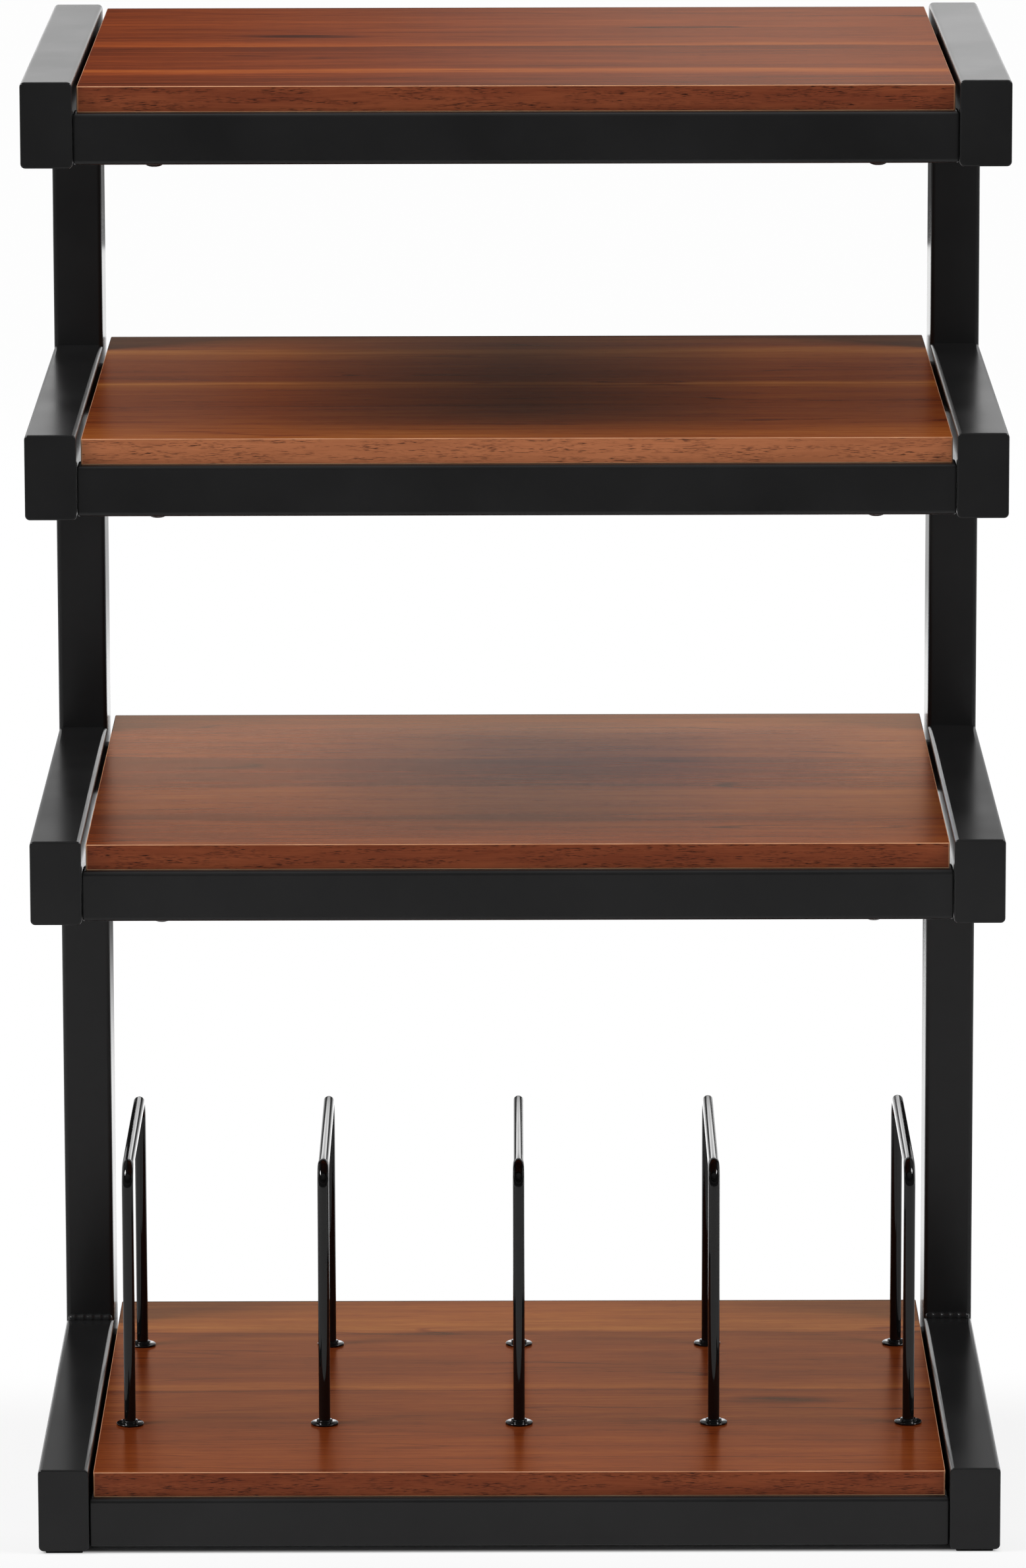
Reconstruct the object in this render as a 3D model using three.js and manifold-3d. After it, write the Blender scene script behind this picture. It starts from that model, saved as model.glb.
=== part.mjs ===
// Audio equipment rack: four wood-finish shelves carried at their front and rear edges by rails,
// between two steel side frames whose posts stand at the back. The base shelf has wire dividers
// that keep records upright.
// Millimetres. X is the width, Y runs from the front to the back, Z is up. The origin lies on the
// floor, in the middle of the footprint.

import * as THREE from 'three';
import { mergeVertices } from 'three/addons/utils/BufferGeometryUtils.js';
import Module from 'manifold-3d';

const wasm = await Module();
wasm.setup();

// Overall
const rackWidth = 570;

// Side tubes, one on each side of every level
const tubeLength = 400;
const tubeWidth = 30;
const tubeHeight = 50;
const tubeCorner = 2.8;
const tubeWall = 1.5;
const tubeEndRoundShare = 0.36;

// Posts between the levels
const postDepth = 50;
const basePostHeight = 330;
const lowerPostHeight = 190;
const upperPostHeight = 155;
const ventShare = 0.5;

// Weld across the foot of each base post
const weldLeg = 4;
const weldLumps = 9;
const weldSwellShare = 0.18;
const weldRhythmShare = 0.7;

// Rails across the front and the rear of every level. Rail and board together fill the tubes' height
// but for railRaise under the rail and boardDrop above the board.
const railDepth = 20;
const railCorner = 2.8;
const railWall = 1.5;
const railEndRoundShare = 0.57;
const railSetBack = 1;
const railRaise = 1.8;
const railGap = 0.3;

// Shelf boards
const boardThickness = 15;
const boardSetBack = 6;
const boardOverhang = 6;
const boardSideGap = 2.5;
const boardDrop = 3.2;
const boardArris = 0.6;
const boardCorner = 1.2;

// Screws that hold a board down through its rails
const shelfScrewInset = 46.5;
const shelfScrewShank = 4;
const shelfHeadRim = 3.5;
const shelfHeadHeight = 2.4;
const woodOverScrew = 4;

// Wire dividers on the base shelf
const dividerCount = 5;
const dividerSideInset = 17.5;
const dividerHeight = 162;
const legSpacing = 185;
const rodDiameter = 7;
const rodWallAtScrew = 1.2;
const bendRadius = 12;
const flangeDiameter = 16.5;
const flangeThickness = 1.2;
const flangeRimShare = 0.7;
const flangeChamferShare = 0.4;
const collarDiameter = 9.6;
const collarHeight = 2.8;
const collarTaperShare = 0.3;

// Screws that hold the dividers from below
const dividerScrewBite = 12;
const dividerHeadRim = 2;
const dividerHeadHeight = 2.2;

// Strips under the base tubes
const footThickness = 1.5;
const footInset = 4;
const footEndInset = 2;
const footCorner = 1;

// Corner of a tube's bore, as a share of its outer corner
const boreCornerShare = 0.45;

// Fits
const screwClearance = 0.3;
const holeTipRoom = 1;
const cutOverrun = 1;

// Fineness of the round stretches
const cornerSegments = 2;
const endRoundSegments = 2;
const arrisSegments = 1;
const holeSegments = 8;
const screwSegments = 8;
const headSegments = 2;
const rodSegments = 10;
const bendSegments = 4;
const flangeSegments = 14;
const lumpSegments = 5;

// Places that follow from the sizes above
const innerWidth = rackWidth - 2 * tubeWidth;
const railHeight = tubeHeight - railRaise - boardThickness - boardDrop;
const frontY = -(tubeLength + boardOverhang) / 2;
const tubeMiddleY = frontY + tubeLength / 2;
const tubeMiddleX = (rackWidth - tubeWidth) / 2;
const postMiddleY = frontY + tubeLength - postDepth / 2;
const boardWidth = innerWidth - 2 * boardSideGap;
const boardDepth = tubeLength - boardSetBack + boardOverhang;
const boardMiddleY = frontY + boardSetBack + boardDepth / 2;
const railLength = innerWidth - 2 * railGap;
const frontRailY = frontY + railSetBack + railDepth / 2;
const rearRailY = frontY + tubeLength - railSetBack - railDepth / 2;
const shelfScrewX = innerWidth / 2 - shelfScrewInset;
const shelfScrewBite = boardThickness - woodOverScrew - holeTipRoom;
const shelfHoleRadius = shelfScrewShank / 2 + screwClearance;
const dividerPitch = (boardWidth - 2 * dividerSideInset) / (dividerCount - 1);
const dividerHoleRadius = rodDiameter / 2 - rodWallAtScrew;
const dividerScrewShank = 2 * (dividerHoleRadius - screwClearance);

// A shelf screw stands in the middle of the strip where its rail lies under the board
const frontStrip = [Math.max(railSetBack, boardSetBack), railSetBack + railDepth];
const frontScrewY = frontY + (frontStrip[0] + frontStrip[1]) / 2;
const rails = [
  { end: 'front', y: frontRailY, screwY: frontScrewY },
  { end: 'rear', y: rearRailY, screwY: rearRailY },
];

// Each level: the height of its tubes' underside and the post that stands on them
const levels = [];
let levelFloor = footThickness;
for (const [name, postHeight] of [
  ['base', basePostHeight],
  ['lower', lowerPostHeight],
  ['upper', upperPostHeight],
  ['top', 0],
]) {
  levels.push({
    name,
    floor: levelFloor,
    railFloor: levelFloor + railRaise,
    boardFloor: levelFloor + railRaise + railHeight,
    boardTop: levelFloor + railRaise + railHeight + boardThickness,
    tubeTop: levelFloor + tubeHeight,
    postHeight,
    hasPostBelow: levelFloor > footThickness,
  });
  levelFloor += tubeHeight + postHeight;
}
const baseLevel = levels[0];

// Materials
const steelBlack = new THREE.MeshStandardMaterial({ color: 0x232323, roughness: 0.42, metalness: 0.1 });
const walnutBoard = new THREE.MeshStandardMaterial({ color: 0x7a4226, roughness: 0.45, metalness: 0 });
const glossBlack = new THREE.MeshStandardMaterial({ color: 0x0c0c0c, roughness: 0.12, metalness: 0.1 });
const screwBlack = new THREE.MeshStandardMaterial({ color: 0x1a1a1a, roughness: 0.35, metalness: 0.5 });
const footRubber = new THREE.MeshStandardMaterial({ color: 0x101010, roughness: 0.9, metalness: 0 });

const rack = new THREE.Group();

// A closed geometry as a solid that can be cut and joined
function solidOf(geometry) {
  const bare = geometry.clone();
  bare.deleteAttribute('normal');
  bare.deleteAttribute('uv');
  const merged = mergeVertices(bare);
  return new wasm.Manifold(new wasm.Mesh({
    numProp: 3,
    vertProperties: new Float32Array(merged.attributes.position.array),
    triVerts: new Uint32Array(merged.index.array),
  }));
}

function geometryOf(solid) {
  const mesh = solid.getMesh();
  const geometry = new THREE.BufferGeometry();
  geometry.setAttribute('position', new THREE.BufferAttribute(new Float32Array(mesh.vertProperties), 3));
  geometry.setIndex(new THREE.BufferAttribute(new Uint32Array(mesh.triVerts), 1));
  geometry.computeVertexNormals();
  return geometry;
}

function cutFrom(geometry, cutters) {
  let solid = solidOf(geometry);
  for (const cutter of cutters) {
    solid = solid.subtract(solidOf(cutter));
  }
  return geometryOf(solid);
}

function place(name, geometry, material, x, y, z) {
  const mesh = new THREE.Mesh(geometry, material.clone());
  mesh.name = name;
  mesh.position.set(x, y, z);
  rack.add(mesh);
}

// Rectangle with round corners about the origin
function roundedOutline(width, height, corner) {
  const x = width / 2 - corner;
  const y = height / 2 - corner;
  const outline = new THREE.Shape();
  outline.absarc(x, y, corner, 0, Math.PI / 2);
  outline.absarc(-x, y, corner, Math.PI / 2, Math.PI);
  outline.absarc(-x, -y, corner, Math.PI, 1.5 * Math.PI);
  outline.absarc(x, -y, corner, 1.5 * Math.PI, 2 * Math.PI);
  outline.closePath();
  return outline;
}

// Bar along Z about the origin, its end edges rounded by endRound
function roundedBar(width, height, length, corner, endRound) {
  const bar = new THREE.ExtrudeGeometry(roundedOutline(width, height, corner), {
    depth: length - 2 * endRound,
    steps: 1,
    curveSegments: cornerSegments,
    bevelEnabled: endRound > 0,
    bevelThickness: endRound,
    bevelSize: endRound,
    bevelOffset: -endRound,
    bevelSegments: endRoundSegments,
  });
  bar.translate(0, 0, endRound - length / 2);
  return bar;
}

// Round cutter along Z from one height to another
function drill(radius, x, y, fromZ, toZ) {
  const cutter = new THREE.CylinderGeometry(radius, radius, toZ - fromZ, holeSegments);
  cutter.rotateX(Math.PI / 2);
  cutter.translate(x, y, (fromZ + toZ) / 2);
  return cutter;
}

// Side tube: hollow, both ends closed, open to the bore of each post that meets it
function sideTube(level) {
  const tube = roundedBar(tubeWidth, tubeHeight, tubeLength, tubeCorner, tubeCorner * tubeEndRoundShare);
  const hollow = roundedBar(
    tubeWidth - 2 * tubeWall,
    tubeHeight - 2 * tubeWall,
    tubeLength - 2 * tubeWall,
    tubeCorner * boreCornerShare,
    0,
  );
  tube.rotateX(Math.PI / 2);
  hollow.rotateX(Math.PI / 2);
  const ventRadius = (ventShare * (tubeWidth - 2 * tubeWall)) / 2;
  const ventY = postMiddleY - tubeMiddleY;
  const ventFrom = level.hasPostBelow ? -tubeHeight / 2 - cutOverrun : 0;
  const ventTo = level.postHeight > 0 ? tubeHeight / 2 + cutOverrun : 0;
  return cutFrom(tube, [hollow, drill(ventRadius, 0, ventY, ventFrom, ventTo)]);
}

// Post: the same tube on end, open at both ends, its foot at z = 0
function plainPost(height) {
  const post = roundedBar(tubeWidth, postDepth, height, tubeCorner, 0);
  const bore = roundedBar(
    tubeWidth - 2 * tubeWall,
    postDepth - 2 * tubeWall,
    height + 2 * cutOverrun,
    tubeCorner * boreCornerShare,
    0,
  );
  post.translate(0, 0, height / 2);
  bore.translate(0, 0, height / 2);
  return cutFrom(post, [bore]);
}

// Fillet weld in the corner between the post's front face and the tube under it: a row of
// overlapping lumps that swell and shrink along the seam
function weldBead() {
  const seam = tubeWidth - 2 * tubeCorner;
  const step = seam / weldLumps;
  const reach = weldLeg * (1 + weldSwellShare);
  let bead = null;
  for (let i = 0; i < weldLumps; i += 1) {
    const leg = weldLeg * (1 + weldSwellShare * Math.sin(i * Math.PI * weldRhythmShare));
    const lump = new THREE.SphereGeometry(1, lumpSegments * 2, lumpSegments);
    lump.scale(step, leg, leg);
    lump.translate((i - (weldLumps - 1) / 2) * step, -postDepth / 2, 0);
    const solid = solidOf(lump);
    bead = bead ? bead.add(solid) : solid;
  }
  const keep = new THREE.BoxGeometry(tubeWidth, 2 * reach, 2 * reach);
  keep.translate(0, tubeWall / 2 - postDepth / 2 - reach, reach);
  return bead.intersect(solidOf(keep));
}

function weldedPost(height) {
  return geometryOf(solidOf(plainPost(height)).add(weldBead()));
}

// Rail: hollow, ends closed and rounded, drilled through for the shelf screws
function shelfRail(screwY) {
  const rail = roundedBar(railDepth, railHeight, railLength, railCorner, railCorner * railEndRoundShare);
  const hollow = roundedBar(
    railDepth - 2 * railWall,
    railHeight - 2 * railWall,
    railLength - 2 * railWall,
    railCorner * boreCornerShare,
    0,
  );
  rail.rotateX(Math.PI / 2);
  rail.rotateZ(Math.PI / 2);
  hollow.rotateX(Math.PI / 2);
  hollow.rotateZ(Math.PI / 2);
  const reach = railHeight / 2 + cutOverrun;
  const holes = [-1, 1].map((side) => drill(shelfHoleRadius, side * shelfScrewX, screwY, -reach, reach));
  return cutFrom(rail, [hollow, ...holes]);
}

// Board with softened edges, its underside at z = 0. Each screw through a rail bites into it.
function shelfBoard(extraHoles) {
  const outline = roundedOutline(boardWidth, boardDepth, boardCorner);
  const board = new THREE.ExtrudeGeometry(outline, {
    depth: boardThickness - 2 * boardArris,
    steps: 1,
    curveSegments: arrisSegments,
    bevelThickness: boardArris,
    bevelSize: boardArris,
    bevelOffset: -boardArris,
    bevelSegments: arrisSegments,
  });
  board.translate(0, 0, boardArris);
  const pilots = [];
  for (const rail of rails) {
    for (const side of [-1, 1]) {
      const y = rail.screwY - boardMiddleY;
      pilots.push(drill(shelfHoleRadius, side * shelfScrewX, y, -cutOverrun, shelfScrewBite + holeTipRoom));
    }
  }
  return cutFrom(board, [...pilots, ...extraHoles]);
}

// Pan-head screw: the head's seat at z = 0, the shank upwards
function panScrew(shank, length, headRim, headHeight) {
  const headRadius = shank / 2 + headRim;
  const profile = [new THREE.Vector2(0, -headHeight)];
  for (let i = 1; i <= headSegments; i += 1) {
    const turn = (i / headSegments) * (Math.PI / 2);
    profile.push(new THREE.Vector2(headRadius * Math.sin(turn), -headHeight * Math.cos(turn)));
  }
  profile.push(new THREE.Vector2(shank / 2, 0));
  profile.push(new THREE.Vector2(shank / 2, length - shank / 2));
  profile.push(new THREE.Vector2(0, length));
  const screw = new THREE.LatheGeometry(profile, screwSegments);
  screw.rotateX(Math.PI / 2);
  return screw;
}

// Divider: a rod bent to an upside-down U across the depth, with a flange and collar round each
// foot and a blind hole up each leg. Its feet stand at z = 0.
function wireDivider() {
  const barZ = dividerHeight - rodDiameter / 2;
  const legY = legSpacing / 2;
  const points = [new THREE.Vector3(0, -legY, 0)];
  for (const [middleY, startTurn] of [[bendRadius - legY, Math.PI], [legY - bendRadius, Math.PI / 2]]) {
    for (let i = 0; i <= bendSegments; i += 1) {
      const turn = startTurn - (i / bendSegments) * (Math.PI / 2);
      const y = middleY + bendRadius * Math.cos(turn);
      const z = barZ - bendRadius + bendRadius * Math.sin(turn);
      points.push(new THREE.Vector3(0, y, z));
    }
  }
  points.push(new THREE.Vector3(0, legY, 0));
  let divider = solidOf(sweptRod(points, rodDiameter / 2));
  const collarTaper = collarTaperShare * (collarHeight - flangeThickness);
  const flange = [
    new THREE.Vector2(0, 0),
    new THREE.Vector2(flangeDiameter / 2, 0),
    new THREE.Vector2(flangeDiameter / 2, flangeThickness * flangeRimShare),
    new THREE.Vector2(flangeDiameter / 2 - flangeThickness * flangeChamferShare, flangeThickness),
    new THREE.Vector2(collarDiameter / 2, flangeThickness),
    new THREE.Vector2(collarDiameter / 2 - collarTaper, collarHeight),
    new THREE.Vector2(0, collarHeight),
  ];
  for (const y of [-legY, legY]) {
    const disc = new THREE.LatheGeometry(flange, flangeSegments);
    disc.rotateX(Math.PI / 2);
    disc.translate(0, y, 0);
    divider = divider.add(solidOf(disc));
  }
  for (const y of [-legY, legY]) {
    const hole = drill(dividerHoleRadius, 0, y, -cutOverrun, dividerScrewBite + holeTipRoom);
    divider = divider.subtract(solidOf(hole));
  }
  return geometryOf(divider);
}

// Round rod along a line of points in the YZ plane, mitred where it turns
function sweptRod(points, radius) {
  const rings = points.map((point, i) => {
    const before = points[Math.max(i - 1, 0)];
    const after = points[Math.min(i + 1, points.length - 1)];
    const inward = point.clone().sub(before).normalize();
    const outward = after.clone().sub(point).normalize();
    const along = inward.clone().add(outward).normalize();
    const bendCos = i > 0 && i < points.length - 1 ? along.dot(outward) : 1;
    const across = new THREE.Vector3(0, -along.z, along.y);
    const ring = [];
    for (let k = 0; k < rodSegments; k += 1) {
      const turn = ((k + 0.5) / rodSegments) * 2 * Math.PI;
      const offset = across.clone().multiplyScalar((radius * Math.sin(turn)) / bendCos);
      offset.x += radius * Math.cos(turn);
      ring.push(point.clone().add(offset));
    }
    return ring;
  });
  const position = rings.flat().flatMap((p) => [p.x, p.y, p.z]);
  const index = [];
  for (let i = 0; i + 1 < rings.length; i += 1) {
    for (let k = 0; k < rodSegments; k += 1) {
      const next = (k + 1) % rodSegments;
      const a = i * rodSegments + k;
      const b = i * rodSegments + next;
      index.push(a, b + rodSegments, b, a, a + rodSegments, b + rodSegments);
    }
  }
  const last = (rings.length - 1) * rodSegments;
  for (let k = 1; k + 1 < rodSegments; k += 1) {
    index.push(0, k, k + 1, last, last + k + 1, last + k);
  }
  const geometry = new THREE.BufferGeometry();
  geometry.setAttribute('position', new THREE.Float32BufferAttribute(position, 3));
  geometry.setIndex(index);
  return geometry;
}

// Side frames
for (const [side, sign] of [['left', -1], ['right', 1]]) {
  const x = sign * tubeMiddleX;
  for (const level of levels) {
    const tubeZ = level.floor + tubeHeight / 2;
    place(`side_tube_${level.name}_${side}`, sideTube(level), steelBlack, x, tubeMiddleY, tubeZ);
    if (level.postHeight > 0) {
      const post = level === baseLevel ? weldedPost(level.postHeight) : plainPost(level.postHeight);
      place(`post_${level.name}_${side}`, post, steelBlack, x, postMiddleY, level.tubeTop);
    }
  }
  const strip = roundedBar(
    tubeWidth - 2 * footInset,
    tubeLength - 2 * footEndInset,
    footThickness,
    footCorner,
    0,
  );
  place(`foot_strip_${side}`, strip, footRubber, x, tubeMiddleY, footThickness / 2);
}

// Rails, with the screws that go up through them
for (const level of levels) {
  for (const { end, y, screwY } of rails) {
    const railZ = level.railFloor + railHeight / 2;
    place(`${end}_rail_${level.name}`, shelfRail(screwY - y), steelBlack, 0, y, railZ);
    for (const [side, sign] of [['left', -1], ['right', 1]]) {
      const length = railHeight + shelfScrewBite;
      const screw = panScrew(shelfScrewShank, length, shelfHeadRim, shelfHeadHeight);
      const name = `shelf_screw_${level.name}_${end}_${side}`;
      place(name, screw, screwBlack, sign * shelfScrewX, screwY, level.railFloor);
    }
  }
}

// Shelf boards: the base one is drilled for the dividers' screws
const dividerPlaces = [];
for (let i = 0; i < dividerCount; i += 1) {
  dividerPlaces.push((i - (dividerCount - 1) / 2) * dividerPitch);
}
for (const level of levels) {
  const holes = [];
  if (level === baseLevel) {
    for (const x of dividerPlaces) {
      for (const y of [-legSpacing / 2, legSpacing / 2]) {
        holes.push(drill(dividerHoleRadius, x, y, -cutOverrun, boardThickness + cutOverrun));
      }
    }
  }
  place(`shelf_board_${level.name}`, shelfBoard(holes), walnutBoard, 0, boardMiddleY, level.boardFloor);
}

// Dividers, each held by a screw up into each leg
dividerPlaces.forEach((x, i) => {
  place(`divider_${i + 1}`, wireDivider(), glossBlack, x, boardMiddleY, baseLevel.boardTop);
  for (const [end, sign] of [['front', -1], ['rear', 1]]) {
    const length = boardThickness + dividerScrewBite;
    const screw = panScrew(dividerScrewShank, length, dividerHeadRim, dividerHeadHeight);
    const screwY = boardMiddleY + (sign * legSpacing) / 2;
    place(`divider_screw_${i + 1}_${end}`, screw, screwBlack, x, screwY, baseLevel.boardFloor);
  }
});

export default rack;
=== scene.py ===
import math

import bmesh
import bpy
from mathutils import Matrix, Vector


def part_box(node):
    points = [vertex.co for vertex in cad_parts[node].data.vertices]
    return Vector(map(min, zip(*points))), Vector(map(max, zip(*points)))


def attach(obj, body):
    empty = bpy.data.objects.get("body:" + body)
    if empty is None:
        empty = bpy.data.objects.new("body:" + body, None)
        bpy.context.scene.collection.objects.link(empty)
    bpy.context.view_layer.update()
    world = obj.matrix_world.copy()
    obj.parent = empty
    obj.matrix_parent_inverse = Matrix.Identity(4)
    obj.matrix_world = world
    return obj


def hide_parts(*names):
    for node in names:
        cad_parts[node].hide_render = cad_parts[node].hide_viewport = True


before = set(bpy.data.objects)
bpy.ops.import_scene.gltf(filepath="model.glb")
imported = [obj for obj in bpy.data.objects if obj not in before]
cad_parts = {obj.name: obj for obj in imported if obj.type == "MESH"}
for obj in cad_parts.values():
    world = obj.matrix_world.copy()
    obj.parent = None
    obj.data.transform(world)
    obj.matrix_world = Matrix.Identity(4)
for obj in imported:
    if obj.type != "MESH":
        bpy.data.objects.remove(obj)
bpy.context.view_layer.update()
print("frame loaded,", len(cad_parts), "nodes")

mm = 0.001
levels = ["base", "lower", "upper", "top"]
sides = ["left", "right"]
ends = ["front", "rear"]
dividerNumbers = range(1, 6)


# Camera: well back, a little above the top shelf, looking slightly down
camera = {
    "place": (0.0, -5.3117, 1.4929),
    "pitch": 11.374,
    "yaw": 0.03,
    "roll": -0.143,
    "lens": 205.3,
    "sensorHeight": 36,
    "clipEnd": 100,
}


def addCamera():
    data = bpy.data.cameras.new("camera")
    data.sensor_fit = "VERTICAL"
    data.sensor_height = camera["sensorHeight"]
    data.lens = camera["lens"]
    data.clip_end = camera["clipEnd"]
    holder = bpy.data.objects.new("camera", data)
    bpy.context.scene.collection.objects.link(holder)
    turn = Matrix.Rotation(math.radians(camera["yaw"]), 4, "Z")
    tilt = Matrix.Rotation(math.radians(90 - camera["pitch"]), 4, "X")
    roll = Matrix.Rotation(math.radians(camera["roll"]), 4, "Z")
    holder.matrix_world = Matrix.Translation(camera["place"]) @ turn @ tilt @ roll
    bpy.context.scene.camera = holder


addCamera()
print("camera placed")


# Small helpers for node trees
def newTree(name):
    material = bpy.data.materials.new(name)
    material.use_nodes = True
    tree = material.node_tree
    tree.nodes.clear()
    return material, tree


def addNode(tree, kind, **settings):
    node = tree.nodes.new(kind)
    for key, value in settings.items():
        setattr(node, key, value)
    return node


# takes the output of another node, a colour or a number
def plug(tree, source, target):
    if isinstance(source, bpy.types.NodeSocket):
        tree.links.new(source, target)
    elif isinstance(source, tuple):
        target.default_value = (*source, 1)
    else:
        target.default_value = source


def calc(tree, operation, a, b=0.0, c=0.0, clamp=False):
    node = addNode(tree, "ShaderNodeMath", operation=operation, use_clamp=clamp)
    for value, socket in zip((a, b, c), node.inputs):
        plug(tree, value, socket)
    return node.outputs[0]


def between(tree, share, start, end):
    return calc(tree, "MULTIPLY_ADD", calc(tree, "SUBTRACT", end, start), share, start)


# adds a noise so that its middle changes nothing
def sway(tree, base, pattern, share, clamp=False):
    return calc(tree, "MULTIPLY_ADD", pattern, share, calc(tree, "SUBTRACT", base, share / 2), clamp)


def remap(tree, value, fromLow, fromHigh, toLow=0.0, toHigh=1.0, smooth=False):
    node = addNode(tree, "ShaderNodeMapRange")
    node.interpolation_type = "SMOOTHSTEP" if smooth else "LINEAR"
    for given, socket in zip((value, fromLow, fromHigh, toLow, toHigh), node.inputs):
        plug(tree, given, socket)
    return node.outputs[0]


def noise(tree, coords, stretch, detail=2.0, roughness=0.5, shift=(0, 0, 0)):
    mapping = addNode(tree, "ShaderNodeMapping")
    mapping.inputs["Location"].default_value = shift
    mapping.inputs["Scale"].default_value = stretch
    tree.links.new(coords, mapping.inputs["Vector"])
    node = addNode(tree, "ShaderNodeTexNoise")
    node.inputs["Scale"].default_value = 1
    node.inputs["Detail"].default_value = detail
    node.inputs["Roughness"].default_value = roughness
    tree.links.new(mapping.outputs["Vector"], node.inputs["Vector"])
    return node.outputs["Fac"]


def ramp(tree, value, stops, smooth=False):
    node = addNode(tree, "ShaderNodeValToRGB")
    node.color_ramp.interpolation = "EASE" if smooth else "LINEAR"
    elements = node.color_ramp.elements
    while len(elements) > 1:
        elements.remove(elements[-1])
    elements[0].position = stops[0][0]
    for place, _ in stops[1:]:
        elements.new(place)
    for element, (_, colour) in zip(elements, stops):
        element.color = (*colour, 1) if isinstance(colour, tuple) else (colour, colour, colour, 1)
    plug(tree, value, node.inputs["Fac"])
    return node.outputs["Color"]


def blendColour(tree, share, a, b):
    node = addNode(tree, "ShaderNodeMix", data_type="RGBA")
    plug(tree, share, node.inputs["Factor"])
    plug(tree, a, node.inputs[6])
    plug(tree, b, node.inputs[7])
    return node.outputs[2]


def bump(tree, height, strength, distance):
    node = addNode(tree, "ShaderNodeBump")
    node.inputs["Strength"].default_value = strength
    node.inputs["Distance"].default_value = distance
    tree.links.new(height, node.inputs["Height"])
    return node.outputs["Normal"]


def objectCoords(tree):
    return addNode(tree, "ShaderNodeTexCoord").outputs["Object"]


def axesOf(tree, coords):
    split = addNode(tree, "ShaderNodeSeparateXYZ")
    tree.links.new(coords, split.inputs[0])
    return split.outputs


def show(tree, shader):
    output = addNode(tree, "ShaderNodeOutputMaterial")
    tree.links.new(shader.outputs[0], output.inputs["Surface"])


def surface(tree, colour, roughness, ior=1.45, normal=None, metallic=0.0):
    shader = addNode(tree, "ShaderNodeBsdfPrincipled")
    plug(tree, colour, shader.inputs["Base Color"])
    plug(tree, roughness, shader.inputs["Roughness"])
    plug(tree, metallic, shader.inputs["Metallic"])
    shader.inputs["IOR"].default_value = ior
    if normal:
        tree.links.new(normal, shader.inputs["Normal"])
    show(tree, shader)
    return shader


usualNoise = (0.3, 0.7)  # nearly all of a noise lies between these


# Satin powder coat: near black, with a faint orange peel and slightly uneven gloss
coat = {
    "darkest": (0.0108, 0.0108, 0.0110),
    "lightest": (0.0147, 0.0147, 0.0150),
    "roughness": (0.2, 0.25),
    "ior": 1.33,
    "cloudsPerMetre": 14,
    "peelPerMetre": 750,
    "peelStrength": 0.25,
    "peelHeight": 0.02 * mm,
}


def satinCoat():
    material, tree = newTree("satinBlackCoat")
    coords = objectCoords(tree)
    cloud = noise(tree, coords, (coat["cloudsPerMetre"],) * 3, detail=3)
    colour = ramp(tree, cloud, list(zip(usualNoise, (coat["darkest"], coat["lightest"]))))
    roughness = remap(tree, cloud, *usualNoise, *coat["roughness"])
    peel = noise(tree, coords, (coat["peelPerMetre"],) * 3, detail=1)
    normal = bump(tree, peel, coat["peelStrength"], coat["peelHeight"])
    surface(tree, colour, roughness, coat["ior"], normal)
    return material


# Gloss black of the wire dividers
wireGloss = {
    "colour": (0.004, 0.004, 0.004),
    "roughness": (0.04, 0.08),
    "ior": 1.42,
    "ripplePerMetre": 40,
    "rippleStrength": 0.3,
    "rippleHeight": 0.04 * mm,
}


def glossBlack():
    material, tree = newTree("glossBlackWire")
    ripple = noise(tree, objectCoords(tree), (wireGloss["ripplePerMetre"],) * 3, detail=0)
    roughness = remap(tree, ripple, *usualNoise, *wireGloss["roughness"])
    normal = bump(tree, ripple, wireGloss["rippleStrength"], wireGloss["rippleHeight"])
    surface(tree, wireGloss["colour"], roughness, wireGloss["ior"], normal)
    return material


# Black screws
screwFinish = {
    "colour": (0.007, 0.007, 0.007),
    "roughness": (0.28, 0.42),
    "ior": 1.3,
    "gritPerMetre": 900,
    "gritStrength": 0.3,
    "gritHeight": 0.02 * mm,
}


def screwBlack():
    material, tree = newTree("blackScrew")
    grit = noise(tree, objectCoords(tree), (screwFinish["gritPerMetre"],) * 3, detail=2)
    roughness = remap(tree, grit, *usualNoise, *screwFinish["roughness"])
    normal = bump(tree, grit, screwFinish["gritStrength"], screwFinish["gritHeight"])
    surface(tree, screwFinish["colour"], roughness, screwFinish["ior"], normal)
    return material


# Rubber strips
rubber = {
    "darkest": (0.006, 0.006, 0.006),
    "lightest": (0.014, 0.014, 0.014),
    "roughness": 0.85,
    "ior": 1.5,
    "gritPerMetre": 600,
    "gritStrength": 0.4,
    "gritHeight": 0.05 * mm,
}


def footRubber():
    material, tree = newTree("footRubber")
    grit = noise(tree, objectCoords(tree), (rubber["gritPerMetre"],) * 3, detail=3)
    colour = ramp(tree, grit, list(zip(usualNoise, (rubber["darkest"], rubber["lightest"]))))
    normal = bump(tree, grit, rubber["gritStrength"], rubber["gritHeight"])
    surface(tree, colour, rubber["roughness"], rubber["ior"], normal)
    return material


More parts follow.
